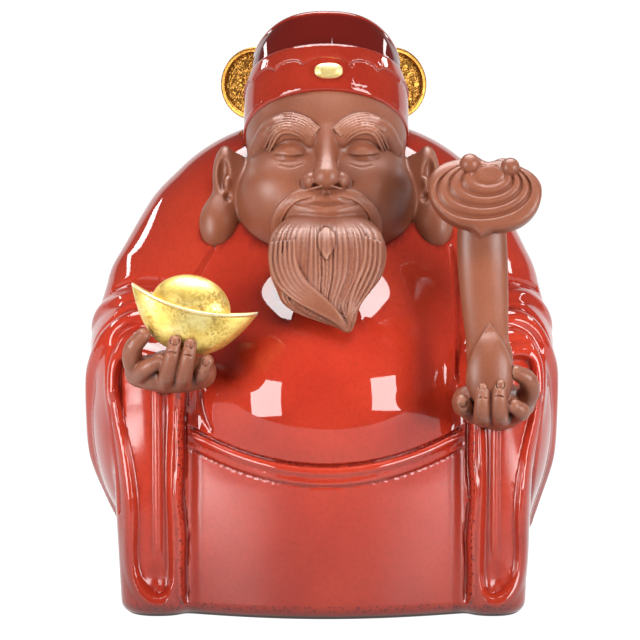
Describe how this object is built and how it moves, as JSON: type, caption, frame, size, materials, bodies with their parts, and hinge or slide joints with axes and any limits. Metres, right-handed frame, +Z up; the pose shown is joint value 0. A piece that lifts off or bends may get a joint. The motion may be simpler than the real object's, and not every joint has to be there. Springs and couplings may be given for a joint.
{
  "type": "caishen figure",
  "caption": "Seated god of wealth in glazed ceramic, with a bare clay head and hands, holding a boat-shaped ingot and a ruyi sceptre.",
  "frame": {"origin": "centre of the flat underside, below the middle of the lap", "axes": "+Z up; the figure faces -Y; +X is the figure's own left, with the sceptre"},
  "size_m": [0.2223, 0.1903, 0.28],
  "materials": {
    "red_glaze": "thick glossy red glaze",
    "bare_clay": "matt unglazed brown clay",
    "gold_leaf": "pale gold paint, slightly patchy",
    "antique_gold": "darker gold paint over a beaten texture"
  },
  "bodies": {
    "root": {"figure": "red_glaze", "ruyi_sceptre": "bare_clay", "gold_ingot": "gold_leaf", "hat_wing_right": "antique_gold", "hat_wing_left": "antique_gold"}
  },
  "joints": []
}
